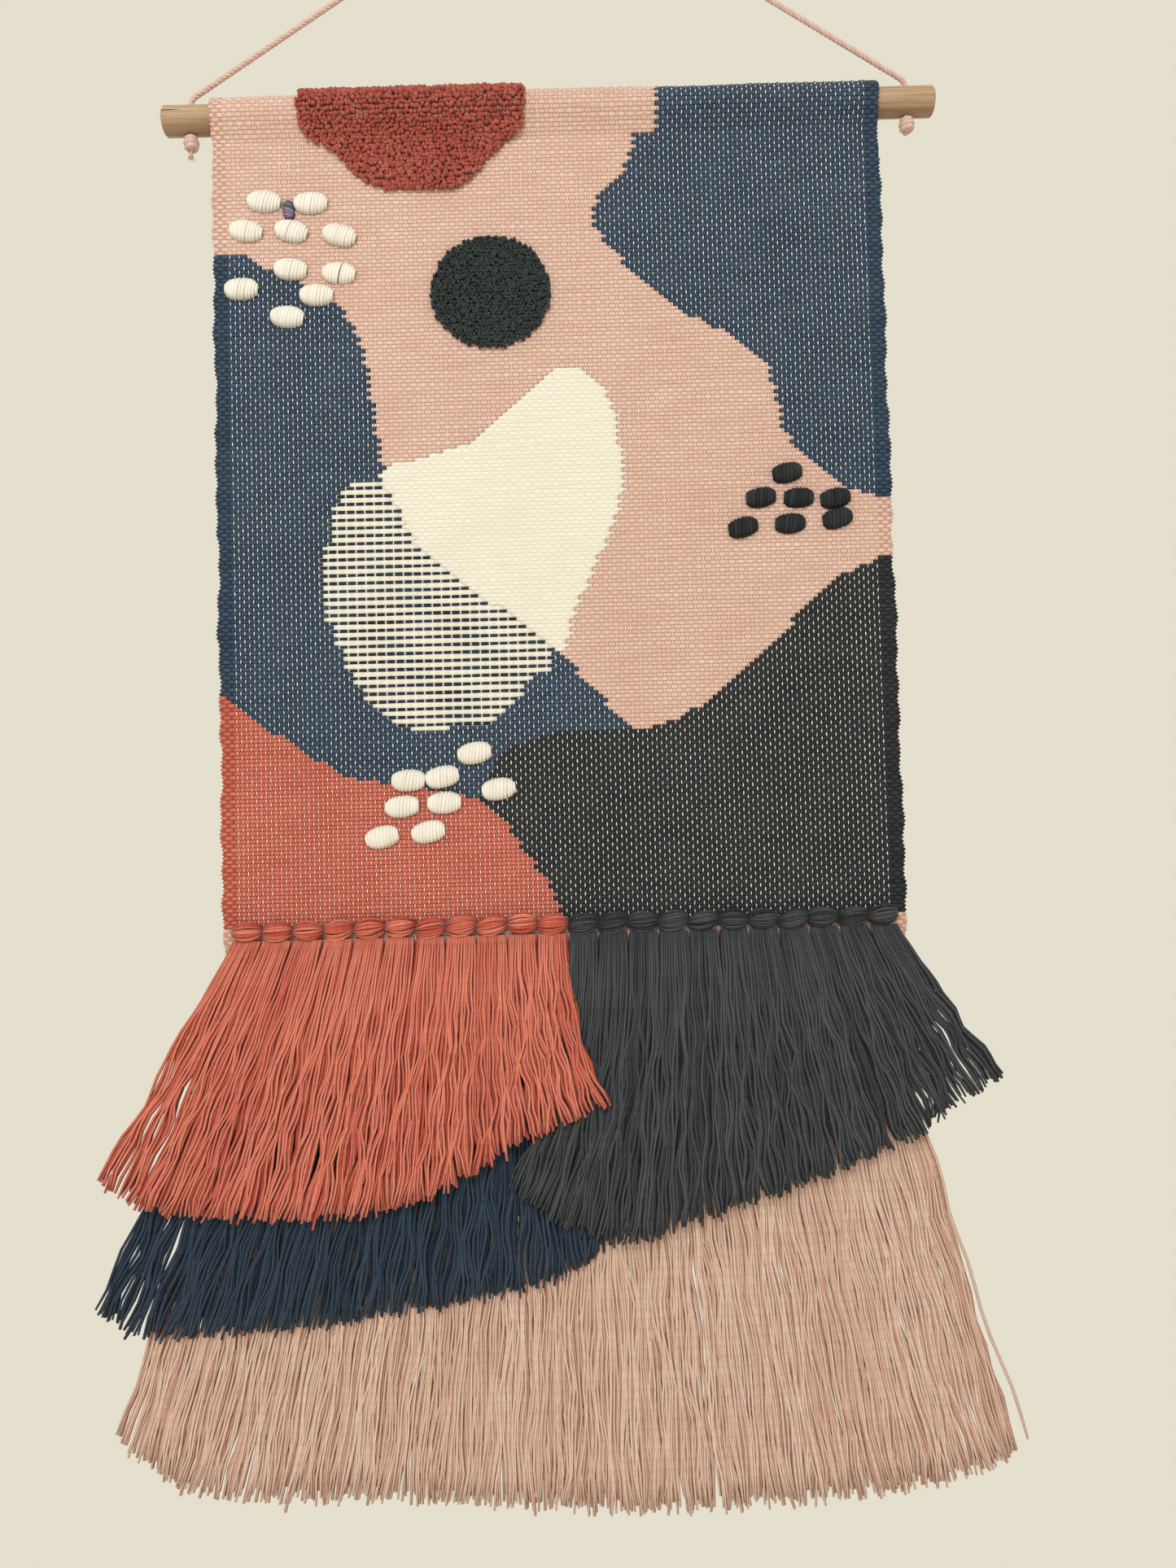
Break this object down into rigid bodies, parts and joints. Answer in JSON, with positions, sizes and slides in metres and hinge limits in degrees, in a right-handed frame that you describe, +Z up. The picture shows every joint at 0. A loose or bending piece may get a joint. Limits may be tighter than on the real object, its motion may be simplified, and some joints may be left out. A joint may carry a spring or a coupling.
{
  "type": "tapestry wall hanging",
  "caption": "Hand-woven wall tapestry on a wooden rod with a hanging cord, raised pile and stitches, and layered knotted fringe.",
  "frame": {"origin": "point where the hanging cord bears on its hook, under the middle of the cord's bend", "axes": "+X to the viewer's right along the rod, +Y into the wall, +Z up"},
  "size_m": [0.6606, 0.0478, 1.2278],
  "materials": {
    "wood": "oiled hardwood, satin",
    "cord_cotton": "twisted cotton cord",
    "warp_cotton": "smooth cotton thread",
    "wool_pink": "matt wool weft",
    "wool_navy": "matt wool weft",
    "wool_rust": "matt wool weft",
    "wool_brick": "cut wool pile",
    "wool_black": "matt wool",
    "wool_slate": "matt wool yarn",
    "wool_ivory": "matt wool weft",
    "wool_white": "soft wool, wrapped",
    "wool_violet": "soft wool, wrapped"
  },
  "bodies": {
    "hanger": {"dowel_rod": "wood", "hanging_cord": "cord_cotton", "cord_knot_left": "cord_cotton", "cord_knot_right": "cord_cotton"},
    "sleeve": {"sleeve_pink": "wool_pink", "sleeve_navy": "wool_navy", "pile_half_moon_top": "wool_brick"},
    "panel": {"warp_threads": "warp_cotton", "weft_pink_field": "wool_pink", "weft_navy_right": "wool_navy", "weft_navy_left": "wool_navy", "weft_ivory": "wool_ivory", "weft_stripes_ivory": "wool_ivory", "weft_stripes_navy": "wool_navy", "weft_rust": "wool_rust", "weft_black": "wool_black", "weft_pink_band": "wool_pink", "hem_flap": "wool_pink", "hem_stitches": "warp_cotton", "pile_half_moon": "wool_brick", "pile_disc": "wool_black", "stitches_white_upper": "wool_white", "stitch_violet": "wool_violet", "stitches_black": "wool_black", "stitches_white_lower": "wool_white", "knots_rust": "wool_rust", "knots_slate": "wool_slate", "knots_navy": "wool_navy", "knots_pink": "wool_pink"},
    "fringe_rust_body": {"fringe_rust": "wool_rust"},
    "fringe_slate_body": {"fringe_slate": "wool_slate"},
    "fringe_navy_body": {"fringe_navy": "wool_navy"},
    "fringe_pink_body": {"fringe_pink": "wool_pink"}
  },
  "joints": [
    {"name": "sleeve_slide", "type": "slide", "parent": "hanger", "child": "sleeve", "axis": [1, 0, 0], "range_m": [-0.01, 0.016]},
    {"name": "panel_swing", "type": "hinge", "parent": "sleeve", "child": "panel", "pos_m": [0, -0.004, -0.21314], "axis": [-1, 0, 0], "range_deg": [0, 60]},
    {"name": "pink_lift", "type": "hinge", "parent": "panel", "child": "fringe_pink_body", "pos_m": [0, -0.0092, -0.8911], "axis": [-1, 0, 0], "range_deg": [0, 75]},
    {"name": "navy_lift", "type": "hinge", "parent": "panel", "child": "fringe_navy_body", "pos_m": [0, -0.0105, -0.8478], "axis": [-1, 0, 0], "range_deg": [0, 75]},
    {"name": "slate_lift", "type": "hinge", "parent": "panel", "child": "fringe_slate_body", "pos_m": [0, -0.011, -0.8133], "axis": [-1, 0, 0], "range_deg": [0, 75]},
    {"name": "rust_lift", "type": "hinge", "parent": "panel", "child": "fringe_rust_body", "pos_m": [0, -0.011, -0.8133], "axis": [-1, 0, 0], "range_deg": [0, 75]}
  ],
  "couplings": [
    {"joint": "navy_lift", "follows": "pink_lift", "ratio": 1},
    {"joint": "slate_lift", "follows": "pink_lift", "ratio": 1},
    {"joint": "rust_lift", "follows": "pink_lift", "ratio": 1}
  ]
}
